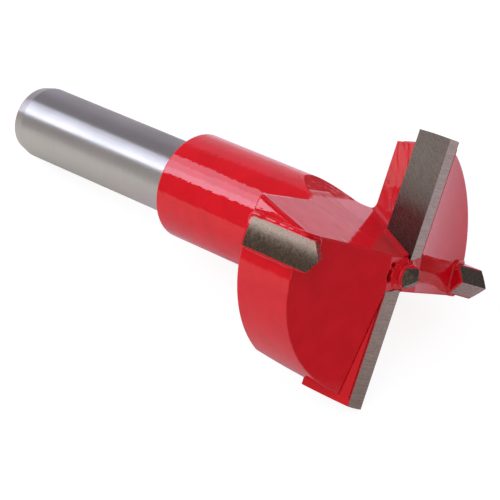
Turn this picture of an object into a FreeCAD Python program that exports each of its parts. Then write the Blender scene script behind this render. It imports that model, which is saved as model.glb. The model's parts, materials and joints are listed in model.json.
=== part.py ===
import FreeCAD, Part
import math
import os

import Sketcher

# Hinge boring bit: a 35 mm cutter head with two wings on a 10 mm shank.
# Every piece is drawn in the tool's own frame: the axis is Z, the cutting edges lie in the plane Z = 0,
# the tip points to +Z, cutter A lies on +X and spur A on -Y. The tool turns from +X towards +Y.
# A placement then lays the finished tool down as it comes to rest on a table.

DIMENSIONS = {
    # Turned blank
    "cutting_radius": 17.5,
    "overall_length": 70.4,
    "shank_radius": 5.0,
    "shank_length": 31.1,
    "shank_chamfer": 0.42,
    "shank_chamfer_length": 1.7,
    "neck_radius": 7.15,
    "neck_chamfer": 0.4,
    "neck_fillet": 1.4,
    "head_radius": 16.6,
    "head_length": 12.64,
    "head_chamfer": 0.25,
    "nose_drop": 0.3,
    "collar_radius": 2.3,
    "collar_top_radius": 1.7,
    "collar_height": 0.5,
    # Gullets
    "wall_distance": 2.1,
    "wall_slope": 0.245,
    "wall_skew": 0.04,
    "runout_start": 14.0,
    "runout_slope": 0.34,
    "root_radius": 0.9,
    "face_depth": 1.4,
    "wall_edge": 0.3,
    "wall_edge_start": 1.0,
    "face_edge": 0.55,
    "face_edge_start": 6.1,
    # Relief behind the cutters
    "relief_start": 2.45,
    "relief_start_drop": 0.1,
    "relief_end_drop": 3.85,
    "relief_cove_radius": 52.0,
    "relief_tilt": 4.9,
    # Main cutters
    "rake_angle": 22.4,
    "land_angle": 7.5,
    "plate_width": 7.6,
    "plate_thickness": 2.07,
    "plate_inner_start": 1.65,
    "plate_corner_radius": 2.3,
    "plate_corner_width": 0.8,
    "plate_inner_end": 3.88,
    "back_taper": 0.8,
    "braze_height": 1.15,
    "braze_width": 0.3,
    "braze_drop": 0.2,
    # Spurs
    "spur_width": 3.95,
    "spur_radius": 17.4,
    "spur_depth": 3.1,
    "spur_length": 12.3,
    "spur_reach": 0.2,
    "spur_roof_drop": 1.45,
    "spur_ridge_drop": 2.0,
    "spur_clearance_radius": 9.8,
    # Centre point
    "point_radius": 1.5,
    "point_reach": 2.14,
    "point_seat": 8.0,
    "point_facet_angle": 46.0,
    "point_facet_turn": 7.5,
    # Open ends of the braze joint round the centre point
    "void_width": 0.7,
    "void_depth": 1.6,
}

# Angles about the axis, from +X towards +Y, at which the braze joint lies open
VOIDS = ((84.0, 116.0), (64.0, 74.0))
# How far past the metal the cutting shapes reach
REACH = 3.0
# Extra stock that a later cut takes off
STOCK = 1.0
# Search for the resting tilt: its range in radians and the number of halvings
TILT_RANGE = 0.6
HALVINGS = 60


class Size:
    """A number together with the sheet expression that it comes from."""

    def __init__(self, value, text):
        self.value = float(value)
        self.text = text

    def __add__(self, other):
        other = as_size(other)
        return Size(self.value + other.value, f"({self.text} + {other.text})")

    def __sub__(self, other):
        other = as_size(other)
        return Size(self.value - other.value, f"({self.text} - {other.text})")

    def __mul__(self, other):
        other = as_size(other)
        return Size(self.value * other.value, f"({self.text} * {other.text})")

    def __truediv__(self, other):
        other = as_size(other)
        return Size(self.value / other.value, f"({self.text} / {other.text})")

    def __neg__(self):
        return Size(-self.value, f"(-1 * {self.text})")

    def __rsub__(self, other):
        return as_size(other) - self


def as_size(number):
    return number if isinstance(number, Size) else Size(number, f"{float(number):.6f}")


def tangent(angle):
    return Size(math.tan(math.radians(angle.value)), f"tan({angle.text})")


def cosine(angle):
    return Size(math.cos(math.radians(angle.value)), f"cos({angle.text})")


def make_sheet(doc):
    sheet = doc.addObject("Spreadsheet::Sheet", "dims")
    for row, (name, value) in enumerate(DIMENSIONS.items(), start=1):
        sheet.set(f"A{row}", name)
        sheet.set(f"B{row}", str(value))
        sheet.setAlias(f"B{row}", name)
    doc.recompute()
    return {name: Size(sheet.get(name), f"dims.{name}") for name in DIMENSIONS}


def origin_item(body, role):
    return next(item for item in body.Origin.OriginFeatures if item.Role == role)


def new_body(doc, label):
    body = doc.addObject("PartDesign::Body", label)
    body.Label = label
    return body


def new_sketch(body, name, plane, lift=None, tilt=None, tilt_axis=(1, 0, 0)):
    """Sketch on one of the body's planes, lifted along its normal or tilted about one of its axes."""
    sketch = body.newObject("Sketcher::SketchObject", name)
    sketch.AttachmentSupport = [(origin_item(body, plane), "")]
    sketch.MapMode = "FlatFace"
    if tilt is not None:
        turn = FreeCAD.Rotation(FreeCAD.Vector(*tilt_axis), tilt.value)
        sketch.AttachmentOffset = FreeCAD.Placement(FreeCAD.Vector(), turn)
        sketch.setExpression("AttachmentOffset.Rotation.Angle", tilt.text)
    if lift is not None:
        sketch.AttachmentOffset = FreeCAD.Placement(FreeCAD.Vector(0, 0, lift.value), FreeCAD.Rotation())
        sketch.setExpression("AttachmentOffset.Base.z", lift.text)
    return sketch


def outline(sketch, corners, arcs=None):
    """Closed outline through the corners; arcs gives {segment: (radius, centre)} for its round segments."""
    arcs = arcs or {}
    corners = [(as_size(x), as_size(y)) for x, y in corners]
    points = [FreeCAD.Vector(x.value, y.value, 0) for x, y in corners]
    first = sketch.GeometryCount
    count = len(corners)
    for i, start in enumerate(points):
        end = points[(i + 1) % count]
        if i not in arcs:
            sketch.addGeometry(Part.LineSegment(start, end), False)
            continue
        sketch.addGeometry(short_arc(start, end, FreeCAD.Vector(*arcs[i][1], 0)), False)
    ends = [segment_ends(sketch, first + i, points[i]) for i in range(count)]
    for i in range(count):
        nxt = (i + 1) % count
        sketch.addConstraint(Sketcher.Constraint("Coincident", first + i, ends[i][1], first + nxt, ends[nxt][0]))
    for i, (x, y) in enumerate(corners):
        for kind, size in (("DistanceX", x), ("DistanceY", y)):
            bind(sketch, Sketcher.Constraint(kind, first + i, ends[i][0], size.value), size)
    for i, (radius, _) in arcs.items():
        bind(sketch, Sketcher.Constraint("Radius", first + i, radius.value), radius)


def short_arc(start, end, centre):
    circle = Part.Circle(centre, FreeCAD.Vector(0, 0, 1), (start - centre).Length)
    first, last = (math.atan2(p.y - centre.y, p.x - centre.x) for p in (start, end))
    if (last - first) % (2 * math.pi) > math.pi:
        first, last = last, first
    return Part.ArcOfCircle(circle, first, last)


def segment_ends(sketch, index, start):
    """Numbers of a segment's first and last point, in the outline's direction."""
    turned = (sketch.Geometry[index].StartPoint - start).Length > 1e-6
    return (2, 1) if turned else (1, 2)


def bind(sketch, constraint, size):
    index = sketch.addConstraint(constraint)
    if "dims" in size.text:
        sketch.setExpression(f"Constraints[{index}]", size.text)


def pocket(body, name, sketch, depth=None, second=None, through=False, flip=False):
    cut = body.newObject("PartDesign::Pocket", name)
    cut.Profile = sketch
    cut.Reversed = flip
    if through:
        cut.Type = "ThroughAll"
        cut.SideType = "Symmetric"
        return cut
    cut.Length = depth.value
    cut.setExpression("Length", depth.text)
    if second is not None:
        cut.SideType = "Two sides"
        cut.Length2 = second.value
        cut.setExpression("Length2", second.text)
    return cut


def turned(body, name, sketch, kind="PartDesign::Revolution"):
    turn = body.newObject(kind, name)
    turn.Profile = sketch
    turn.ReferenceAxis = (sketch, ["V_Axis"])
    turn.Angle = 360
    return turn


def ruled(body, name, kind, sections):
    """Straight sided shape between level outlines, each given as (height, corners, arcs)."""
    sketches = []
    for number, (z, corners, arcs) in enumerate(sections):
        sketch = new_sketch(body, f"{name}_{number}", "XY_Plane", lift=z)
        outline(sketch, corners, arcs)
        sketches.append(sketch)
    return loft(body, name, kind, sketches)


def loft(body, name, kind, sketches):
    feature = body.newObject(kind, name)
    feature.Profile = sketches[0]
    feature.Sections = sketches[1:]
    feature.Ruled = True
    return feature


def around(body, name, features, count):
    pattern = body.newObject("PartDesign::PolarPattern", name)
    pattern.Originals = features
    pattern.Axis = (origin_item(body, "Z_Axis"), [""])
    pattern.Angle = 360
    pattern.Occurrences = count
    body.Tip = pattern
    return pattern


def wall_x(d, y, z):
    """X of the gullet's side wall at a height, at a distance y across."""
    return d["wall_distance"] - d["wall_skew"] * y - d["wall_slope"] * z


def face_y(d, depth, z):
    """Y of a plane parallel to the rake face of cutter A and a depth behind it."""
    return tangent(d["rake_angle"]) * z - depth / cosine(d["rake_angle"])


def blank(body, d):
    """Shank and neck, then the head and nose, in one turned profile with a fillet between the two."""
    end = d["point_reach"] - d["overall_length"]
    shoulder = end + d["shank_length"]
    back = -d["head_length"]
    front = -d["nose_drop"]
    fillet = d["neck_fillet"]
    tail = [
        (0, end),
        (d["shank_radius"] - d["shank_chamfer"], end),
        (d["shank_radius"], end + d["shank_chamfer_length"]),
        (d["shank_radius"], shoulder),
        (d["neck_radius"] - d["neck_chamfer"], shoulder),
        (d["neck_radius"], shoulder + d["neck_chamfer"]),
        (d["neck_radius"], back - fillet),
    ]
    head = [
        (d["neck_radius"] + fillet, back),
        (d["head_radius"] - d["head_chamfer"], back),
        (d["head_radius"], back + d["head_chamfer"]),
        (d["head_radius"], front),
        (d["collar_radius"], front),
        (d["collar_top_radius"], front + d["collar_height"]),
        (0, front + d["collar_height"]),
    ]
    centre = (d["neck_radius"].value + fillet.value, back.value - fillet.value)
    sketch = new_sketch(body, "blank_profile", "XZ_Plane")
    outline(sketch, tail + head, {len(tail) - 1: (fillet, centre)})
    turned(body, "blank", sketch)


def gullet(body, d):
    """Chip space in front of cutter A: open between the cutter's face and the side wall."""
    start = -d["runout_start"]
    low = start - d["neck_radius"] / d["runout_slope"]
    far = d["cutting_radius"] + REACH
    side = far - low * d["runout_slope"]
    steeper = d["runout_slope"] - d["wall_slope"]
    radius = d["root_radius"]
    sections = []
    for z, rise in ((as_size(REACH), 0), (start, 0), (low, (start - low) * steeper)):
        floor = face_y(d, d["face_depth"], z)
        root = (wall_x(d, floor, z) + rise + radius, floor + radius)
        corners = [(wall_x(d, root[1], z) + rise, root[1]), (root[0], floor), (side, floor), (side, far)]
        corners.append((wall_x(d, far, z) + rise, far))
        sections.append((z, corners, {0: (radius, (root[0].value, root[1].value))}))
    return ruled(body, "gullet", "PartDesign::SubtractiveLoft", sections)


def chord(radius, across):
    """How far a circle reaches along, at a distance across from its centre."""
    value = math.sqrt(radius.value**2 - across.value**2)
    return Size(value, f"sqrt({radius.text}^2 - ({across.text})^2)")


def wall_chamfer(body, d):
    """Broken edge where the gullet's side wall meets the rim."""
    leg = d["wall_edge"]
    sections = []
    for z in (-d["wall_edge_start"], -(d["head_length"] + REACH)):
        x = wall_x(d, d["head_radius"], z)
        y = chord(d["head_radius"], x)
        corners = [(x - leg, y + REACH), (x - leg, y), (x, y - leg), (x + leg, y - leg), (x + leg, y + REACH)]
        sections.append((z, corners, None))
    return ruled(body, "wall_edge", "PartDesign::SubtractiveLoft", sections)


def face_chamfer(body, d):
    """Broken edge where the steel face behind the cutter meets the rim."""
    leg = d["face_edge"]
    sections = []
    for z in (-d["face_edge_start"], -(d["head_length"] + REACH)):
        y = face_y(d, d["face_depth"], z)
        x = chord(d["head_radius"], y)
        back = y - leg * 2
        rim = [(x - leg, y), (chord(d["head_radius"], back), back)]
        corners = [(x - leg, y + leg), *rim, (x + REACH, back), (x + REACH, y + leg)]
        sections.append((z, corners, None))
    return ruled(body, "face_edge", "PartDesign::SubtractiveLoft", sections)


def relief(body, d):
    """Hollow ground relief that falls away behind cutter A, towards the rim and towards spur A."""
    near = -d["relief_start"]
    far = -(d["cutting_radius"] + REACH)
    start = -d["relief_start_drop"]
    end = -d["relief_end_drop"]
    top = as_size(REACH)
    radius = d["relief_cove_radius"]
    span = FreeCAD.Vector(far.value - near.value, end.value - start.value, 0)
    middle = FreeCAD.Vector(near.value + far.value, start.value + end.value, 0) * 0.5
    up = FreeCAD.Vector(span.y, -span.x, 0).normalize()
    centre = middle + up * math.sqrt(radius.value**2 - (span.Length / 2) ** 2)
    sketch = new_sketch(body, "relief_profile", "YZ_Plane", tilt=d["relief_tilt"])
    outline(sketch, [(near, start), (far, end), (far, top), (near, top)], {0: (radius, (centre.x, centre.y))})
    return pocket(body, "relief", sketch, through=True)


def plate_corners(d, outer, front):
    """Outline of a cutter plate in the plane of its rake face, X outwards and Y towards the front."""
    back = -d["plate_width"]
    return [
        (d["plate_inner_start"], front),
        (d["plate_inner_start"], 0),
        (d["plate_corner_radius"], -d["plate_corner_width"]),
        (d["plate_inner_end"], back),
        (outer, back),
        (outer, front),
    ]


def plate_seat(body, d):
    sketch = new_sketch(body, "seat_outline", "XZ_Plane", tilt=-d["rake_angle"])
    outline(sketch, plate_corners(d, d["cutting_radius"] + REACH, as_size(REACH)))
    return pocket(body, "plate_seat", sketch, d["braze_width"], d["plate_thickness"])


def braze_bead(body, d):
    """Fillet of braze in the corner between the side wall and the rake face, along the plate's inner end."""
    width = d["braze_width"]
    back = (width - d["plate_width"]) * cosine(d["rake_angle"])
    sections = []
    for z in (-d["nose_drop"] - d["braze_drop"], back):
        floor = face_y(d, as_size(0), z)
        top = floor + d["braze_height"]
        low_x = wall_x(d, floor, z)
        top_x = wall_x(d, top, z)
        corners = [(low_x - width, floor), (low_x + width, floor), (top_x, top), (top_x - width, top)]
        sections.append((z, corners, None))
    return ruled(body, "braze_bead", "PartDesign::AdditiveLoft", sections)


def spur_slot(body, d):
    half = d["spur_width"] / 2
    inner = -(d["spur_radius"] - d["spur_depth"])
    outer = -(d["cutting_radius"] + REACH)
    floor = d["spur_reach"] - d["spur_length"]
    sketch = new_sketch(body, "slot_outline", "XY_Plane", lift=floor)
    outline(sketch, [(-half, outer), (half, outer), (half, inner), (-half, inner)])
    return pocket(body, "spur_slot", sketch, d["spur_length"] + REACH, flip=True)


def point_bore(body, d):
    radius = d["point_radius"]
    sketch = new_sketch(body, "bore_profile", "XZ_Plane")
    outline(sketch, [(0, -d["point_seat"]), (radius, -d["point_seat"]), (radius, REACH), (0, REACH)])
    turned(body, "point_bore", sketch, "PartDesign::Groove")


def point_voids(body, d):
    """Open stretches of the braze joint beside the collar."""
    inner = d["collar_radius"]
    outer = inner + d["void_width"]
    for number, (start, end) in enumerate(VOIDS):
        ends = [(math.cos(math.radians(a)), math.sin(math.radians(a))) for a in (start, end)]
        corners = [(inner * c, inner * s) for c, s in ends] + [(outer * c, outer * s) for c, s in ends[::-1]]
        sketch = new_sketch(body, f"void_outline_{number}", "XY_Plane")
        outline(sketch, corners, {0: (inner, (0, 0)), 2: (outer, (0, 0))})
        pocket(body, f"void_{number}", sketch, d["void_depth"])


def make_cutter_body(doc, d):
    body = new_body(doc, "cutter_body")
    blank(body, d)
    cuts = [make(body, d) for make in (gullet, wall_chamfer, face_chamfer, relief, plate_seat, spur_slot)]
    around(body, "second_wing", cuts, 2)
    bead = braze_bead(body, d)
    around(body, "second_bead", [bead], 2)
    point_bore(body, d)
    point_voids(body, d)
    return body


def plate_end(body, d):
    """Outer end of a cutter, turned down to a radius that tapers back for clearance."""
    radius = d["cutting_radius"]
    low = -(d["head_length"] + REACH)
    top = as_size(REACH)
    taper = tangent(d["back_taper"])
    far = radius + 2 * REACH
    sketch = new_sketch(body, "end_outline", "XZ_Plane")
    outline(sketch, [(radius + taper * low, low), (far, low), (far, top), (radius + taper * top, top)])
    turned(body, "plate_end", sketch, "PartDesign::Groove")


def make_plate(doc, d, label):
    """Carbide plate: rake face in front, relieved land on top, slanted inner end against the web."""
    body = new_body(doc, label)
    sketch = new_sketch(body, "plate_outline", "XZ_Plane", tilt=-d["rake_angle"])
    outline(sketch, plate_corners(d, d["cutting_radius"] + STOCK, as_size(STOCK)))
    pad = body.newObject("PartDesign::Pad", "plate")
    pad.Profile = sketch
    pad.Length = d["plate_thickness"].value
    pad.setExpression("Length", d["plate_thickness"].text)
    land = new_sketch(body, "land_profile", "YZ_Plane")
    slope = tangent(d["land_angle"])
    corners = [(REACH, slope * REACH), (-REACH, -slope * REACH), (-REACH, REACH), (REACH, REACH)]
    outline(land, corners)
    pocket(body, "land", land, through=True)
    plate_end(body, d)
    return body


def make_spur(doc, d, label):
    """Carbide spur: a block in a rim slot whose roofed front end scores the wall of the hole."""
    body = new_body(doc, label)
    half = d["spur_width"] / 2
    low = d["spur_reach"] - d["spur_length"]
    inner = d["spur_radius"] - d["spur_depth"]
    outer = d["spur_radius"] + STOCK
    rise = d["spur_ridge_drop"] / d["spur_depth"]
    sections = []
    for name, y in (("spur_inner", inner), ("spur_outer", outer)):
        ridge = d["spur_reach"] + rise * (y - d["spur_radius"])
        shoulder = ridge - d["spur_roof_drop"]
        sketch = new_sketch(body, name, "XZ_Plane", lift=y)
        outline(sketch, [(-half, low), (half, low), (half, shoulder), (0, ridge), (-half, shoulder)])
        sections.append(sketch)
    loft(body, "spur_block", "PartDesign::AdditiveLoft", sections)
    spur_clearance(body, d)
    return body


def spur_clearance(body, d):
    """Outer face of the spur: round about its own centre, it meets the hole at the leading edge only."""
    lead = d["spur_width"] / 2
    start = lead + STOCK
    end = -lead - STOCK
    radius = d["spur_clearance_radius"]
    taper = tangent(d["back_taper"])
    sections = []
    for z in (as_size(REACH), d["spur_reach"] - d["spur_length"] - REACH):
        swing = d["spur_radius"] + taper * z
        share = 1 - radius / swing
        centre = (lead * share, -chord(swing, lead) * share)
        far = -swing - REACH
        face = [(x, centre[1] - chord(radius, x - centre[0])) for x in (start, end)]
        corners = [*face, (end, far), (start, far)]
        sections.append((z, corners, {0: (radius, (centre[0].value, centre[1].value))}))
    return ruled(body, "clearance", "PartDesign::SubtractiveLoft", sections)


def make_point(doc, d):
    """Carbide centre point: a pin ground to four facets."""
    body = new_body(doc, "centre_point")
    radius = d["point_radius"]
    reach = d["point_reach"]
    sketch = new_sketch(body, "pin_profile", "XZ_Plane")
    outline(sketch, [(0, -d["point_seat"]), (radius, -d["point_seat"]), (radius, reach), (0, reach)])
    turned(body, "pin", sketch)
    facet = new_sketch(body, "facet_profile", "XZ_Plane", tilt=d["point_facet_turn"], tilt_axis=(0, 1, 0))
    fall = tangent(d["point_facet_angle"])
    corners = [(0, reach), (REACH, reach - fall * REACH), (REACH, reach + STOCK), (0, reach + STOCK)]
    outline(facet, corners)
    cut = pocket(body, "facet", facet, through=True)
    around(body, "facets", [cut], 4)
    return body


def table_normal(near, far, ring_radius, ring_z):
    """Upward normal of the table that touches two points of the head and a ring of the shank."""
    line = (far - near).normalize()
    first = (FreeCAD.Vector(1, 1, 0) - line * (line.x + line.y)).normalize()
    second = line.cross(first)

    def normal_at(angle):
        return first * math.cos(angle) + second * math.sin(angle)

    def ring_height(angle):
        normal = normal_at(angle)
        return normal.z * ring_z - ring_radius * math.hypot(normal.x, normal.y) - normal.dot(near)

    low, high = sorted((-TILT_RANGE, TILT_RANGE), key=ring_height)
    for _ in range(HALVINGS):
        middle = (low + high) / 2
        low, high = (middle, high) if ring_height(middle) < 0 else (low, middle)
    return normal_at((low + high) / 2)


def rest_normal(d, bodies):
    """Normal of the table on which the corner of cutter B, the rim of wing A and the shank's end lie."""
    corner = FreeCAD.Vector(-d["cutting_radius"].value, 0, 0)
    points = [v.Point for body in bodies for v in body.Shape.Vertexes]
    side = [p for p in points if p.y < -d["head_radius"].value / 2]
    ring_z = d["point_reach"].value - d["overall_length"].value + d["shank_chamfer_length"].value
    heel = FreeCAD.Vector(0, -d["spur_radius"].value, 0)
    for _ in side:
        normal = table_normal(corner, heel, d["shank_radius"].value, ring_z)
        lowest = min(side, key=normal.dot)
        if lowest == heel:
            break
        heel = lowest
    return normal, normal.dot(corner)


def lay_down(d, bodies):
    """Turn the finished tool from its own frame to the way it rests on a table."""
    normal, floor = rest_normal(d, bodies)
    up = FreeCAD.Vector(0, 0, 1)
    along = (up - normal * normal.z).normalize()
    across = normal.cross(along)
    rows = [(*v, 0) for v in (along, across, normal)] + [(0, 0, 0, 1)]
    turn = FreeCAD.Placement(FreeCAD.Matrix(*(value for row in rows for value in row)))
    for body in bodies:
        body.Placement = turn.multiply(body.Placement)
    box = FreeCAD.BoundBox()
    for body in bodies:
        box.add(body.Shape.optimalBoundingBox(False, False))
    shift = FreeCAD.Vector(-box.Center.x, -box.Center.y, -floor)
    for body in bodies:
        body.Placement.Base = body.Placement.Base + shift


def check(doc, bodies):
    for item in doc.Objects:
        if "Invalid" in item.State or "Error" in item.State:
            raise RuntimeError(f"{item.Name} failed: {item.State}")
    for body in bodies:
        if body.Shape.isNull() or not body.Shape.isValid():
            raise RuntimeError(f"{body.Label} has no valid shape")


def main():
    doc = FreeCAD.newDocument("hinge_boring_bit")
    d = make_sheet(doc)
    bodies = [make_cutter_body(doc, d), make_point(doc, d)]
    half_turn = FreeCAD.Placement(FreeCAD.Vector(), FreeCAD.Rotation(FreeCAD.Vector(0, 0, 1), 180))
    for letter in ("a", "b"):
        pair = [make_plate(doc, d, f"main_cutter_{letter}"), make_spur(doc, d, f"spur_{letter}")]
        if letter == "b":
            for body in pair:
                body.Placement = half_turn
        bodies.extend(pair)
    doc.recompute()
    check(doc, bodies)
    lay_down(d, bodies)
    os.makedirs("parts", exist_ok=True)
    for body in bodies:
        shape = body.Shape
        print(f"{body.Label}: {len(shape.Solids)} solid, {shape.Volume:.2f} mm3")
        shape.exportStep(f"parts/{body.Label}.step")


main()
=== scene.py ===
import json
import math

import bpy
from mathutils import Matrix, Vector
from mathutils.bvhtree import BVHTree
from mathutils.noise import noise as field


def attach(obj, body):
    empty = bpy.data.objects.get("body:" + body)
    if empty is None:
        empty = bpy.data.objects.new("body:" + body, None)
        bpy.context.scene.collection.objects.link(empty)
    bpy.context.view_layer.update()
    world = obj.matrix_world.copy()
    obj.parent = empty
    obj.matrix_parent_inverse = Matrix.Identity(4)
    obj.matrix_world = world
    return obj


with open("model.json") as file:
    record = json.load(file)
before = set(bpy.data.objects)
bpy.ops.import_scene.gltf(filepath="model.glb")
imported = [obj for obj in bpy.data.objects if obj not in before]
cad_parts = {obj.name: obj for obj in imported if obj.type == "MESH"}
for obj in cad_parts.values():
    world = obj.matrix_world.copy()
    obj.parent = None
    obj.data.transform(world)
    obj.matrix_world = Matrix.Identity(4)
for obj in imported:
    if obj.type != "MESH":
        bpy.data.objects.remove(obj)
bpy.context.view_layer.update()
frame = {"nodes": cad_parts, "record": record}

NODES = frame["nodes"]
MM = 0.001
# Cutter A and spur A have side 1, and B, half a turn on, have side -1
SIDES = (("a", 1), ("b", -1))


# Place of the bit. In its own frame, in mm, its axis is Z with the cutting edges at Z = 0 and the
# shank below, cutter A lies on +X and spur B on +Y. Places and sizes are in that frame unless a
# comment says otherwise.

def corners(name):
    """The corners of the node's mesh in mm, as it lies in the row."""
    return [v.co / MM for v in NODES[name].data.vertices]


def find_place():
    """The rotation and origin that take the bit's own frame to the row's."""
    clamp = Vector(frame["record"]["mounts"][0]["pos_m"]) / MM
    tips = [
        max(corners(f"main_cutter_{letter}"), key=lambda c: (c - clamp).length)
        for letter, _ in SIDES
    ]
    origin = (tips[0] + tips[1]) / 2
    # The corners furthest from the tip are the ring round the shank's end
    body = corners("cutter_body")
    reach = max((c - origin).length for c in body)
    ring = {tuple(round(v, 3) for v in c) for c in body if (c - origin).length > reach - 0.01}
    end = sum((Vector(c) for c in ring), Vector()) / len(ring)
    axis = (origin - end).normalized()
    along = (tips[0] - origin).normalized()
    return Matrix((along, axis.cross(along), axis)).transposed(), origin


TURN, ORIGIN = find_place()


def to_row(point):
    """A point of the bit's own frame as a place in the scene, in m."""
    return (TURN @ Vector(point) + ORIGIN) * MM


def own_points(name):
    """The corners of the node's mesh in the bit's own frame."""
    back = TURN.transposed()
    return [back @ (c - ORIGIN) for c in corners(name)]


def surface_tree(name):
    """The node's surface in the bit's own frame, for rays."""
    faces = [list(p.vertices) for p in NODES[name].data.polygons]
    return BVHTree.FromPolygons(own_points(name), faces)


# Node helpers

# The Mix node's sockets for each kind of value: first, second and result
MIX_SOCKETS = {"FLOAT": (2, 3, 0), "VECTOR": (4, 5, 1), "RGBA": (6, 7, 2)}


class Tree:
    """A node tree with short calls for the nodes that the materials use."""

    def __init__(self, tree):
        self.tree = tree
        self.tree.nodes.clear()

    def node(self, kind, **settings):
        made = self.tree.nodes.new(kind)
        for name, value in settings.items():
            setattr(made, name, value)
        return made

    def put(self, socket, value):
        """Link the socket to another one, or set its own value."""
        if isinstance(value, bpy.types.NodeSocket):
            self.tree.links.new(value, socket)
        else:
            socket.default_value = value

    def math(self, operation, *values):
        made = self.node("ShaderNodeMath", operation=operation)
        for socket, value in zip(made.inputs, values):
            self.put(socket, value)
        return made.outputs[0]

    def chain(self, operation, values):
        """The operation on the first two values, then on its result and the third, and so on."""
        result = values[0]
        for value in values[1:]:
            result = self.math(operation, result, value)
        return result

    def times(self, *values):
        return self.chain("MULTIPLY", values)

    def plus(self, *values):
        return self.chain("ADD", values)

    def minus(self, first, second):
        return self.math("SUBTRACT", first, second)

    def vector(self, operation, *values):
        made = self.node("ShaderNodeVectorMath", operation=operation)
        for socket, value in zip(made.inputs, values):
            self.put(socket, value)
        return made.outputs["Value" if operation in ("DOT_PRODUCT", "LENGTH") else "Vector"]

    def split(self, vector):
        made = self.node("ShaderNodeSeparateXYZ")
        self.put(made.inputs[0], vector)
        return made.outputs

    def join(self, x, y, z):
        made = self.node("ShaderNodeCombineXYZ")
        for socket, value in zip(made.inputs, (x, y, z)):
            self.put(socket, value)
        return made.outputs[0]

    def ramp(self, value, low, high, start=0.0, end=1.0):
        """start where the value is under low, end where it is over high, and smooth between."""
        made = self.node("ShaderNodeMapRange", interpolation_type="SMOOTHSTEP")
        for socket, given in zip(made.inputs, (value, low, high, start, end)):
            self.put(socket, given)
        return made.outputs[0]

    def fall(self, value, low, high):
        """1 where the value is under low, 0 where it is over high, and smooth between."""
        return self.ramp(value, low, high, 1.0, 0.0)

    def noise(self, vector, scale=1.0, detail=2.0, roughness=0.5, distortion=0.0):
        made = self.node("ShaderNodeTexNoise")
        given = {
            "Vector": vector, "Scale": scale, "Detail": detail,
            "Roughness": roughness, "Distortion": distortion,
        }
        for name, value in given.items():
            self.put(made.inputs[name], value)
        return made.outputs[0]

    def mix(self, factor, first, second, kind="RGBA"):
        made = self.node("ShaderNodeMix", data_type=kind, clamp_factor=True)
        first_socket, second_socket, result = MIX_SOCKETS[kind]
        self.put(made.inputs[0], factor)
        self.put(made.inputs[first_socket], first)
        self.put(made.inputs[second_socket], second)
        return made.outputs[result]

    def near(self, value, goal, reach):
        """1 where the value is at the goal, falling to 0 at a distance of reach."""
        distance = self.math("ABSOLUTE", self.minus(value, goal))
        return self.fall(distance, reach * 0.6, reach)

    def bump(self, height, normal):
        """The normal tilted by a height in mm."""
        made = self.node("ShaderNodeBump")
        self.put(made.inputs["Strength"], 1.0)
        self.put(made.inputs["Distance"], MM)
        self.put(made.inputs["Height"], height)
        self.put(made.inputs["Normal"], normal)
        return made.outputs[0]

    def output(self, shader, kind="ShaderNodeOutputMaterial"):
        self.put(self.node(kind).inputs["Surface"], shader.outputs[0])


def rgb(red, green, blue):
    return (red, green, blue, 1.0)


def new_material(name):
    material = bpy.data.materials.new(name)
    material.use_nodes = True
    return material, Tree(material.node_tree)


def own_place(t):
    """The shading point in the bit's own frame."""
    back = TURN.transposed()
    coordinates = t.node("ShaderNodeTexCoord")
    mapping = t.node("ShaderNodeMapping", vector_type="POINT")
    t.put(mapping.inputs["Vector"], coordinates.outputs["Object"])
    mapping.inputs["Location"].default_value = -(back @ ORIGIN)
    mapping.inputs["Rotation"].default_value = back.to_euler("XYZ")
    mapping.inputs["Scale"].default_value = (1 / MM,) * 3
    return mapping.outputs[0]


# Materials: red lacquer over steel, with bare metal where a mask says so

# Sizes of the bit that the finishes follow
SHANK_RADIUS = 5.0
SHANK_END = min(p.z for p in own_points("cutter_body"))
NECK_BACK = -37.2
RAKE = math.radians(22.4)
WALL_DISTANCE = 2.1
WALL_SKEW = 0.04
WALL_SLOPE = 0.245
FRONT_FACE = -1.40
PLATE_THICKNESS = 2.07
PLATE_SLANT = 0.24
SPUR_HALF = 1.975
# Where lacquer gives way to bare carbide, and over which length
PLATE_INNER = 2.0
PLATE_INNER_FADE = 0.10
SPUR_FRONT = (14.45, 14.55)
SPUR_TAIL = (-12.0, -11.85)
POINT_FOOT = (0.50, 0.58)
# Where the neck's strong orange peel gives way to the head's, and where the turned rings end
PEEL_CHANGE = (-19.5, -18.0)
TURNED_END = (-19.0, -17.0)
# How far from a face of the body its marks reach
FACE_REACH = 0.12

# Heights of the relief
NECK_PEEL = 0.026
HEAD_PEEL = 0.012
TURNED_RINGS = 0.007
MILL_MARKS = 0.045
LACQUER_RUNS = 0.16
GROUND_RINGS = 0.0025
CARBIDE_GRAIN = 0.006
SPUR_GRAIN = 0.008

# Radii to which edges are rounded in the shading
BODY_EDGE = 0.3
CARBIDE_EDGE = 0.05
POINT_EDGE = 0.03
BEAD_EDGE = 0.02

# Share of the body's peel on a bead, and of the coat's gloss on the plates, where it is thin
BEAD_PEEL = 0.4
PLATE_GLOSS = 0.4

# The dark and the light of each finish
RED = (rgb(0.59, 0.0034, 0.0105), rgb(0.65, 0.0050, 0.0135))
STEEL = (rgb(0.56, 0.54, 0.52), rgb(0.69, 0.67, 0.65))
BRASS = (rgb(0.62, 0.40, 0.13), rgb(0.88, 0.66, 0.30))
PLATE_CARBIDE = (rgb(0.225, 0.185, 0.150), rgb(0.395, 0.335, 0.275))
POINT_CARBIDE = (rgb(0.20, 0.16, 0.125), rgb(0.36, 0.30, 0.24))
# The same carbide on both spurs, painted lighter on spur A and darker on spur B: painted light and
# shade
SPUR_CARBIDE_LIT_AND_SHADED = {
    1: (rgb(0.260, 0.215, 0.190), rgb(0.450, 0.385, 0.330)),
    -1: (rgb(0.150, 0.108, 0.075), rgb(0.255, 0.190, 0.135)),
}


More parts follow.
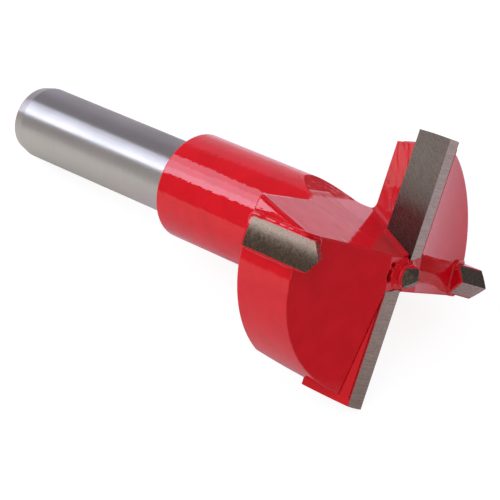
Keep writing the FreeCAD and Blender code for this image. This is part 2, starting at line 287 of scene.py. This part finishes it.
def lacquer_look(t, place, rough=1.0):
    """Colour and height of the lacquer, a thick glossy enamel. rough scales its orange peel."""
    cloud = t.noise(place, scale=0.35, detail=3.0)
    colour = t.mix(t.ramp(cloud, 0.3, 0.7), *RED)
    x, y, z = t.split(place)
    peel = t.times(
        t.noise(place, scale=1.1),
        t.ramp(z, *PEEL_CHANGE, NECK_PEEL * rough, HEAD_PEEL * rough),
    )
    # Faint turned rings on the neck
    turned = t.noise(t.join(t.times(x, 0.15), t.times(y, 0.15), t.times(z, 1.3)), roughness=0.6)
    turned = t.times(turned, t.fall(z, *TURNED_END), TURNED_RINGS)
    # Mill marks that show through on the gullets' side walls
    side = t.math("SIGN", y)
    across = t.math("ABSOLUTE", y)
    wall = t.plus(t.times(across, -WALL_SKEW), t.times(z, -WALL_SLOPE), WALL_DISTANCE)
    on_wall = t.near(t.times(x, side), wall, FACE_REACH)
    marks = t.noise(t.join(t.times(across, 3.0), t.times(z, 0.10), 0.0), roughness=0.6)
    # Runs of lacquer down the wings' front faces
    behind = t.plus(t.times(across, -math.cos(RAKE)), t.times(z, -math.sin(RAKE)))
    on_face = t.near(behind, FRONT_FACE, FACE_REACH)
    aside = t.times(t.plus(t.times(x, side, 0.55), t.times(z, -0.9)), 0.55)
    down = t.times(t.plus(t.times(x, side, 0.9), t.times(z, 0.55)), 0.28)
    runs = t.noise(t.join(aside, down, 0.0), detail=1.2, roughness=0.4, distortion=0.8)
    return colour, t.plus(
        t.plus(peel, turned),
        t.times(marks, on_wall, MILL_MARKS),
        t.times(runs, on_face, LACQUER_RUNS),
    )


def steel_look(t, place):
    """Colour, roughness and height of the ground steel, with fine rings round the axis."""
    x, y, z = t.split(place)
    angle = t.math("ARCTAN2", y, x)
    rings = t.noise(t.join(t.times(angle, 0.8), 0.0, t.times(z, 8.0)), detail=4.0, roughness=0.7)
    smudge = t.noise(place, scale=0.25, detail=3.0)
    roughness = t.plus(t.ramp(smudge, 0.3, 0.7, 0.32, 0.35), t.times(rings, 0.04))
    return t.mix(rings, *STEEL), roughness, t.times(rings, GROUND_RINGS)


def carbide_look(t, place, marks, tones, relief=CARBIDE_GRAIN):
    """Colour, roughness and height of ground carbide. marks is a place that stretches the marks."""
    grain = t.noise(place, scale=7.0, detail=4.0, roughness=0.75)
    lines = t.noise(marks, detail=3.0, roughness=0.7)
    both = t.plus(t.times(grain, 0.5), t.times(lines, 0.5))
    colour = t.mix(t.ramp(both, 0.32, 0.68), *tones)
    roughness = t.ramp(both, 0.3, 0.7, 0.22, 0.34)
    return colour, roughness, t.times(both, relief)


def lacquer_shader(t, height, edge_radius):
    """Diffuse red under a clear glossy coat, and the normal with its edges rounded."""
    shader = t.node("ShaderNodeBsdfPrincipled")
    shader.inputs["Roughness"].default_value = 0.5
    shader.inputs["Specular IOR Level"].default_value = 0.0
    shader.inputs["Coat Weight"].default_value = 1.0
    shader.inputs["Coat Roughness"].default_value = 0.04
    shader.inputs["Coat IOR"].default_value = 1.5
    edge = t.node("ShaderNodeBevel", samples=8)
    edge.inputs["Radius"].default_value = edge_radius * MM
    t.put(shader.inputs["Coat Normal"], t.bump(height, edge.outputs[0]))
    t.output(shader)
    return shader, edge.outputs[0]


def finish_material(t, bare, paint, metal, edge_radius, gloss=1.0):
    """One shader for lacquer and bare metal. bare is 1 on metal, and gloss is the coat's weight."""
    colour, height = paint
    metal_colour, metal_roughness, metal_height = metal
    shader, edge = lacquer_shader(t, height, edge_radius)
    t.put(shader.inputs["Base Color"], t.mix(bare, colour, metal_colour))
    t.put(shader.inputs["Metallic"], bare)
    t.put(shader.inputs["Roughness"], t.mix(bare, 0.5, metal_roughness, "FLOAT"))
    t.put(shader.inputs["Coat Weight"], t.mix(bare, gloss, 0.0, "FLOAT"))
    t.put(shader.inputs["Normal"], t.bump(t.times(metal_height, bare), edge))
    return shader


def body_material():
    """Lacquer on the head and neck, and a bare shank with a trace of lacquer at its end."""
    material, t = new_material("lacquered_body")
    place = own_place(t)
    x, y, z = t.split(place)
    radius = t.vector("LENGTH", t.join(x, y, 0.0))
    ragged = t.times(t.noise(place, scale=1.5), 0.10)
    behind = t.fall(t.plus(z, ragged), NECK_BACK + 0.02, NECK_BACK + 0.08)
    trace = t.times(t.fall(z, SHANK_END + 0.05, SHANK_END + 0.14), t.ramp(radius, 3.6, 3.8))
    bare = t.times(behind, t.fall(radius, SHANK_RADIUS + 0.03, SHANK_RADIUS + 0.08))
    bare = t.times(bare, t.minus(1.0, trace))
    shader = finish_material(t, bare, lacquer_look(t, place), steel_look(t, place), BODY_EDGE)
    # The rings stretch the highlight along the axis
    shader.inputs["Anisotropic"].default_value = 0.9
    along = t.node(
        "ShaderNodeVectorTransform", vector_type="VECTOR",
        convert_from="OBJECT", convert_to="WORLD",
    )
    t.put(along.inputs[0], tuple(TURN @ Vector((0.0, 0.0, 1.0))))
    t.put(shader.inputs["Tangent"], along.outputs[0])
    return material


def plate_material(letter, side):
    """A cutter plate: bare rake face, land and outer end, lacquered back and inner end."""
    material, t = new_material(f"cutter_{letter}_finish")
    place = own_place(t)
    x, y, z = t.split(place)
    out = t.times(x, side)
    behind = t.plus(t.times(y, side * math.cos(RAKE)), t.times(z, -math.sin(RAKE)))
    ragged = t.times(t.noise(place, scale=1.2), 0.08)
    back = t.ramp(t.plus(behind, ragged), -PLATE_THICKNESS + 0.06, -PLATE_THICKNESS + 0.14)
    inward = t.plus(out, t.times(z, PLATE_SLANT))
    inner = t.ramp(t.plus(inward, ragged), PLATE_INNER, PLATE_INNER + PLATE_INNER_FADE)
    # The marks run slantwise over the rake face and straight across the land
    rake_face = t.ramp(behind, -0.10, -0.02)
    slantwise = t.join(
        t.plus(t.times(out, 3.6), t.times(z, 2.2)),
        t.plus(t.times(z, 0.30), t.times(out, -0.50)),
        0.0,
    )
    across = t.join(t.times(out, 5.0), t.times(behind, 0.5), 0.0)
    marks = t.mix(rake_face, across, slantwise, "VECTOR")
    colour, roughness, height = carbide_look(t, place, marks, PLATE_CARBIDE)
    # Painted shade: the rake face darkened, most towards its inner end, where it reflects the dim
    # gullet
    rake_painted_shade = t.minus(1.0, t.times(rake_face, t.ramp(out, 1.0, 15.0, 0.72, 0.24)))
    colour = t.vector("MULTIPLY", colour, t.join(rake_painted_shade, rake_painted_shade, rake_painted_shade))
    metal = (colour, roughness, height)
    bare = t.times(back, inner)
    finish_material(t, bare, lacquer_look(t, place), metal, CARBIDE_EDGE, PLATE_GLOSS)
    return material


def spur_material(letter, side):
    """A spur: bare outer face and roof, lacquered sides and inner face."""
    material, t = new_material(f"spur_{letter}_finish")
    place = own_place(t)
    x, y, z = t.split(place)
    lead = t.times(x, side)
    depth = t.times(y, -side)
    ragged = t.times(t.noise(place, scale=1.3), 0.16)
    bare = t.times(
        t.fall(t.plus(lead, ragged), SPUR_HALF - 0.06, SPUR_HALF + 0.02),
        t.ramp(t.minus(lead, ragged), -SPUR_HALF - 0.02, -SPUR_HALF + 0.06),
        t.ramp(t.minus(depth, ragged), *SPUR_FRONT),
        t.ramp(t.minus(z, ragged), *SPUR_TAIL),
    )
    marks = t.join(t.times(lead, 3.0), t.times(z, 3.0), t.times(depth, 3.0))
    # Spur A's lighter and spur B's darker tones are painted light and shade
    metal = carbide_look(t, place, marks, SPUR_CARBIDE_LIT_AND_SHADED[side], SPUR_GRAIN)
    finish_material(t, bare, lacquer_look(t, place), metal, CARBIDE_EDGE)
    return material


def point_material():
    """The centre point: bare, with lacquer round its foot that climbs on the side of cutter A."""
    material, t = new_material("centre_point_finish")
    place = own_place(t)
    x, y, z = t.split(place)
    ragged = t.times(t.noise(place, scale=1.5), 0.05)
    climb = t.ramp(x, 0.5, 1.5, 0.0, 0.45)
    bare = t.ramp(t.minus(z, t.plus(ragged, climb)), *POINT_FOOT)
    marks = t.join(t.times(x, 3.0), t.times(z, 3.0), t.times(y, 3.0))
    metal = carbide_look(t, place, marks, POINT_CARBIDE)
    finish_material(t, bare, lacquer_look(t, place), metal, POINT_EDGE)
    return material


def bead_material():
    """Lacquer over a bead or drop of braze."""
    material, t = new_material("lacquered_braze")
    colour, height = lacquer_look(t, own_place(t), BEAD_PEEL)
    shader, _ = lacquer_shader(t, height, BEAD_EDGE)
    t.put(shader.inputs["Base Color"], colour)
    return material


def brass_material():
    """Bare braze."""
    material, t = new_material("bare_braze")
    speck = t.noise(own_place(t), scale=6.0, detail=3.0)
    shader = t.node("ShaderNodeBsdfPrincipled")
    shader.inputs["Metallic"].default_value = 1.0
    t.put(shader.inputs["Base Color"], t.mix(t.ramp(speck, 0.35, 0.65), *BRASS))
    t.put(shader.inputs["Roughness"], t.ramp(speck, 0.3, 0.7, 0.22, 0.40))
    t.output(shader)
    return material


# Beads and drops of braze

BEAD_STEP = 0.2
BEAD_SIDES = 12
LUMP_SCALE = 0.9
# How far a spur's bead lies beside the spur, and how deep its centre line lies in the body
BEAD_BESIDE = 0.10
BEAD_SUNK = 0.05
SPUR_BEAD_LUMPS = 0.16
SPUR_BEAD_ROUNDS = 10
# A spur's bead runs up the rim from the slot's end to the relief, then inwards over the relief
SLOT_END = -12.25
SHELF = -2.6
RIM_STEPS = 24
RIM_INSIDE = 16.0
RELIEF_OUTER = 16.2
RELIEF_INNER = 14.15
RELIEF_STEPS = 8
# Where the rays that find the body start
BESIDE_HEAD = 20.0
BEFORE_HEAD = 5.0
# Drops under the lacquer: place and radius
DROPS = (
    ((1.23, 1.80, -0.30), 0.34),
    ((0.35, 2.15, -0.32), 0.30),
    ((1.78, 1.06, -0.24), 0.30),
    ((1.93, -12.19, -3.25), 0.28),
    ((2.05, -14.72, -3.45), 0.36),
    ((1.34, -14.15, -3.05), 0.32),
    ((2.24, 16.20, -4.15), 0.30),
    ((2.05, 16.10, -3.35), 0.26),
)
DROP_LUMPS = 0.3
DROP_HALF = Vector((0.12, 0.10, 0.0))
BARE_DROP = ((1.40, -0.72, 0.18), (1.46, -0.52, 0.20))
BARE_DROP_RADIUS = 0.19
# The ring round the centre point, thicker on the side of spur B
RING_RADIUS = 1.56
RING_HEIGHT = 0.46
RING_CORNERS = 36
RING_LUMPS = 0.4
RING_ROUNDS = 3


def resample(path, closed):
    """Points along the path at even steps."""
    points = [Vector(p) for p in path]
    if closed:
        points.append(points[0])
    lengths = [(b - a).length for a, b in zip(points, points[1:])]
    count = max(4, round(sum(lengths) / BEAD_STEP))
    result = []
    at, i = 0.0, 0
    for k in range(count if closed else count + 1):
        goal = sum(lengths) * k / count
        while i < len(lengths) - 1 and at + lengths[i] < goal:
            at += lengths[i]
            i += 1
        share = (goal - at) / lengths[i] if lengths[i] else 0.0
        result.append(points[i].lerp(points[i + 1], min(share, 1.0)))
    return result


def smooth(points, rounds, closed):
    for _ in range(rounds):
        old = [p.copy() for p in points]
        for i in range(len(points)):
            if closed or 0 < i < len(points) - 1:
                points[i] = (old[i - 1] + old[i] * 2 + old[(i + 1) % len(old)]) / 4
    return points


def make_bead(name, path, radius, finish, lumps, closed=True, rounds=0):
    """A run of braze along the path, smoothed in rounds. radius(point) gives its thickness, and
    lumps the share by which that varies. The ends of an open run are rounded."""
    points = smooth(resample(path, closed), rounds, closed)
    count = len(points)
    vertices, faces = [], []
    first = None
    for i, point in enumerate(points):
        after = points[(i + 1) % count] if closed or i < count - 1 else point
        before = points[i - 1] if closed or i > 0 else point
        along = (after - before).normalized()
        if first is None:
            first = along.orthogonal()
        first = (first - along * first.dot(along)).normalized()
        second = along.cross(first)
        size = radius(point) * (1 + lumps * field(point * LUMP_SCALE))
        if not closed:
            from_end = min(i, count - 1 - i) * BEAD_STEP
            size *= min(1.0, math.sqrt(from_end / radius(point) + 0.02))
        for k in range(BEAD_SIDES):
            angle = 2 * math.pi * k / BEAD_SIDES
            out = first * math.cos(angle) + second * math.sin(angle)
            vertices.append(to_row(point + out * size))
    # The last ring of a closed run may have turned, and joins the first at the nearest corners
    turn = 0
    if closed:
        start = vertices[0] - to_row(points[0])
        last = vertices[(count - 1) * BEAD_SIDES:]
        gaps = [((v - to_row(points[-1])) - start).length for v in last]
        turn = gaps.index(min(gaps))
    for i in range(count if closed else count - 1):
        ring, after = i * BEAD_SIDES, (i + 1) % count * BEAD_SIDES
        shift = turn if closed and i == count - 1 else 0
        for k in range(BEAD_SIDES):
            a, b = (k + shift) % BEAD_SIDES, (k + 1 + shift) % BEAD_SIDES
            faces.append((ring + a, ring + b, after + (k + 1) % BEAD_SIDES, after + k))
    if not closed:
        faces.append(tuple(reversed(range(BEAD_SIDES))))
        faces.append(tuple(range((count - 1) * BEAD_SIDES, count * BEAD_SIDES)))
    mesh = bpy.data.meshes.new(name)
    mesh.from_pydata(vertices, [], faces)
    mesh.polygons.foreach_set("use_smooth", [True] * len(mesh.polygons))
    mesh.materials.append(finish)
    bead = bpy.data.objects.new(name, mesh)
    bpy.context.scene.collection.objects.link(bead)
    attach(bead, "root")


def spur_loop(tree, side):
    """The line round a spur where its sides meet the cutter body."""
    def hit(start, direction):
        return tree.ray_cast(Vector(start), Vector(direction))[0]

    loop = []
    for lead in (1, -1):
        x = lead * (SPUR_HALF + BEAD_BESIDE) * side
        run = []
        for k in range(RIM_STEPS + 1):
            z = SLOT_END + (SHELF - SLOT_END) * k / RIM_STEPS
            found = hit((x, -side * BESIDE_HEAD, z), (0, side, 0))
            if found is not None and abs(found.y) > RIM_INSIDE:
                run.append(found + Vector((0, side * BEAD_SUNK, 0)))
        for k in range(RELIEF_STEPS + 1):
            y = RELIEF_OUTER + (RELIEF_INNER - RELIEF_OUTER) * k / RELIEF_STEPS
            found = hit((x, -side * y, BEFORE_HEAD), (0, 0, -1))
            if found is not None:
                run.append(found - Vector((0, 0, BEAD_SUNK)))
        loop.extend(run if lead == 1 else run[::-1])
    return loop


def spur_bead_radius(point):
    if point.x > 1.0:
        return 0.45
    return 0.30 if point.x < -1.0 else 0.36


def ring_radius(point):
    return 0.20 + 0.05 * point.y / RING_RADIUS


def make_braze():
    lacquered, bare = bead_material(), brass_material()
    tree = surface_tree("cutter_body")
    for letter, side in SIDES:
        make_bead(
            f"spur_braze_{letter}", spur_loop(tree, side), spur_bead_radius,
            lacquered, SPUR_BEAD_LUMPS, rounds=SPUR_BEAD_ROUNDS,
        )
    for number, (place, size) in enumerate(DROPS, 1):
        path = [Vector(place) - DROP_HALF, Vector(place) + DROP_HALF]
        name = f"braze_drop_{number}"
        make_bead(name, path, lambda p: size, lacquered, DROP_LUMPS, closed=False)
    make_bead(
        "bare_braze_drop", BARE_DROP, lambda p: BARE_DROP_RADIUS,
        bare, DROP_LUMPS, closed=False,
    )
    turns = [2 * math.pi * k / RING_CORNERS for k in range(RING_CORNERS)]
    ring = [(RING_RADIUS * math.cos(a), RING_RADIUS * math.sin(a), RING_HEIGHT) for a in turns]
    make_bead("point_braze", ring, ring_radius, lacquered, RING_LUMPS, rounds=RING_ROUNDS)


# Studio. Directions and places are the row's, in m, apart from the camera's.

AIM = Vector((0.0, 0.0, 0.014))
# A light's direction from the aim, the way its first side runs, its distance and its sides
KEY = ((-0.8045, -0.2647, 0.5323), (0.0656, -0.9047, -0.4213), 0.6, (0.113, 0.22))
FILL = ((0.14, -0.78, 0.61), (0.984, 0.177, 0.0), 0.8, (1.10, 1.10))
KEY_COLOUR = (0.88, 0.95, 1.19)
FILL_COLOUR = (1.0, 0.98, 0.98)
FILL_RADIANCE = 0.66
# The key is three lights in a row: the shift of each along the first side, and its radiance
KEY_PARTS = ((-0.101, 2.5), (0.012, 3.6), (0.125, 5.2))

# The camera as fitted to the photo
CAMERA_PLACE = (33.616, 234.795, 169.826)
CAMERA_RIGHT = (0.305429, -0.636566, 0.708164)
CAMERA_DOWN = (-0.943938, -0.104566, 0.313124)
CAMERA_LENS = 171.875
CAMERA_SENSOR = 36.0

FLOOR_RADIUS = 0.19
FLOOR_CORNERS = 96
FLOOR_DROP = 0.00005
FLOOR_COLOUR = rgb(0.80, 0.785, 0.77)
# What the camera sees of the floor: a grey that takes the shadow, and a glow that lifts it to white
FLOOR_GREY = rgb(0.20, 0.20, 0.20)
FLOOR_GLOW = 0.88


def make_camera():
    data = bpy.data.cameras.new("camera")
    data.lens = CAMERA_LENS
    data.sensor_width = CAMERA_SENSOR
    data.clip_start = 0.01
    camera = bpy.data.objects.new("camera", data)
    bpy.context.scene.collection.objects.link(camera)
    right = (TURN @ Vector(CAMERA_RIGHT)).normalized()
    down = TURN @ Vector(CAMERA_DOWN)
    down = (down - right * down.dot(right)).normalized()
    turn = Matrix((right, -down, -right.cross(down))).transposed()
    camera.matrix_world = Matrix.Translation(to_row(CAMERA_PLACE)) @ turn.to_4x4()
    bpy.context.scene.camera = camera


def make_light(name, stand, radiance, colour, shift=0.0):
    """An area light. stand is KEY or FILL, and shift moves it along its first side."""
    toward, side, distance, size = stand
    data = bpy.data.lights.new(name, "AREA")
    data.shape = "RECTANGLE"
    data.size, data.size_y = size
    data.energy = radiance * math.pi * size[0] * size[1]
    data.color = colour
    light = bpy.data.objects.new(name, data)
    bpy.context.scene.collection.objects.link(light)
    toward, side = Vector(toward).normalized(), Vector(side)
    up = toward.cross(side).normalized()
    turn = Matrix((up.cross(toward), up, toward)).transposed()
    place = AIM + toward * distance + side * shift
    light.matrix_world = Matrix.Translation(place) @ turn.to_4x4()
    light.visible_camera = False


def make_lights():
    for number, (shift, radiance) in enumerate(KEY_PARTS, 1):
        make_light(f"key_{number}", KEY, radiance, KEY_COLOUR, shift)
    make_light("fill", FILL, FILL_RADIANCE, FILL_COLOUR)


def make_world():
    """White to the camera. Gloss shows a dim room and a pale table, and all else a soft sky."""
    world = bpy.data.worlds.new("studio")
    world.use_nodes = True
    bpy.context.scene.world = world
    t = Tree(world.node_tree)
    direction = t.node("ShaderNodeTexCoord").outputs["Generated"]
    x, y, z = t.split(direction)
    # The room, darker towards the back and beyond the tip
    dim = t.mix(t.ramp(y, 0.0, 0.5), rgb(0.20, 0.18, 0.18), rgb(0.11, 0.10, 0.11))
    # Its pale wall behind the shank's end
    wall = t.mix(t.ramp(z, 0.1, 0.40), rgb(0.70, 0.67, 0.74), rgb(0.52, 0.50, 0.63))
    wall = t.mix(t.ramp(z, 0.49, 0.57), wall, rgb(0.20, 0.18, 0.20))
    at_wall = t.times(t.ramp(y, -0.1, 0.2), t.fall(x, -0.63, -0.53))
    dim = t.mix(t.ramp(x, 0.1, 0.7), t.mix(at_wall, dim, wall), rgb(0.10, 0.09, 0.09))
    # The table, whose horizon rises beyond the shank's end
    table = t.mix(t.ramp(y, -0.5, 0.3), rgb(0.52, 0.50, 0.50), rgb(0.90, 0.83, 1.0))
    horizon = t.plus(z, t.ramp(x, -0.9, -0.6, -0.08, 0.0))
    room = t.mix(t.fall(horizon, -0.105, -0.075), dim, table)
    # The soft sky, brighter above and behind
    soft = t.mix(t.ramp(x, -0.2, 0.9), rgb(0.72, 0.72, 0.72), rgb(0.42, 0.42, 0.42))
    above = t.ramp(t.vector("DOT_PRODUCT", direction, (-0.45, 0.55, 0.70)), 0.3, 1.0)
    soft = t.mix(above, soft, rgb(1.05, 1.03, 1.03))
    path = t.node("ShaderNodeLightPath")
    seen = t.mix(path.outputs["Is Glossy Ray"], soft, room)
    seen = t.mix(path.outputs["Is Camera Ray"], seen, rgb(1.0, 1.0, 1.0))
    background = t.node("ShaderNodeBackground")
    t.put(background.inputs["Color"], seen)
    t.output(background, "ShaderNodeOutputWorld")


def floor_material():
    """Pale, white to the camera where no shadow falls. Gloss shows it with painted shade and a
    painted warm tint, seen only in reflections.
    """
    material, t = new_material("pale_floor")
    x, y, _ = t.split(t.node("ShaderNodeTexCoord").outputs["Object"])
    # Painted shade in the floor's gloss colour: darker towards -Y
    pale = t.mix(t.ramp(y, -0.03, 0.015), rgb(0.63, 0.60, 0.61), rgb(0.95, 0.87, 1.0))
    # Painted reflection: a warm patch by the shank, for the shank's underside to show
    painted_tint_by_shank = t.times(t.fall(x, -0.016, -0.008), t.fall(y, 0.0, 0.02))
    pale = t.mix(painted_tint_by_shank, pale, rgb(0.73, 0.71, 0.665))
    # Painted shade, seen only in reflections: dark in front of the head, up to what the land of
    # cutter B shows
    ahead = t.times(t.ramp(x, 0.026, 0.060), t.fall(y, 0.010, 0.024))
    beyond = t.times(t.ramp(x, 0.045, 0.050), t.fall(y, 0.024, 0.028))
    slant = t.plus(y, t.times(x, -0.8), 0.040)
    dark = t.times(t.math("MAXIMUM", ahead, beyond), t.fall(slant, -0.009, -0.005))
    gloss_with_painted_shade = t.mix(dark, pale, rgb(0.18, 0.18, 0.19))
    path = t.node("ShaderNodeLightPath")
    to_camera = path.outputs["Is Camera Ray"]
    colour = t.mix(path.outputs["Is Glossy Ray"], FLOOR_COLOUR, gloss_with_painted_shade)
    diffuse = t.node("ShaderNodeBsdfDiffuse")
    t.put(diffuse.inputs["Color"], t.mix(to_camera, colour, FLOOR_GREY))
    glow = t.node("ShaderNodeEmission")
    t.put(glow.inputs["Strength"], t.times(to_camera, FLOOR_GLOW))
    both = t.node("ShaderNodeAddShader")
    t.put(both.inputs[0], diffuse.outputs[0])
    t.put(both.inputs[1], glow.outputs[0])
    t.output(both)
    return material


def make_floor():
    mesh = bpy.data.meshes.new("floor")
    turns = [2 * math.pi * k / FLOOR_CORNERS for k in range(FLOOR_CORNERS)]
    rim = [(FLOOR_RADIUS * math.cos(a), FLOOR_RADIUS * math.sin(a), -FLOOR_DROP) for a in turns]
    mesh.from_pydata(rim, [], [range(FLOOR_CORNERS)])
    mesh.materials.append(floor_material())
    floor = bpy.data.objects.new("floor", mesh)
    bpy.context.scene.collection.objects.link(floor)


def finish_nodes():
    finishes = {"cutter_body": body_material(), "centre_point": point_material()}
    for letter, side in SIDES:
        finishes[f"main_cutter_{letter}"] = plate_material(letter, side)
        finishes[f"spur_{letter}"] = spur_material(letter, side)
    for name, node in NODES.items():
        node.data.materials.clear()
        node.data.materials.append(finishes[name])


make_camera()
make_lights()
make_world()
make_floor()
finish_nodes()
make_braze()

bpy.context.scene.view_settings.view_transform = "Standard"
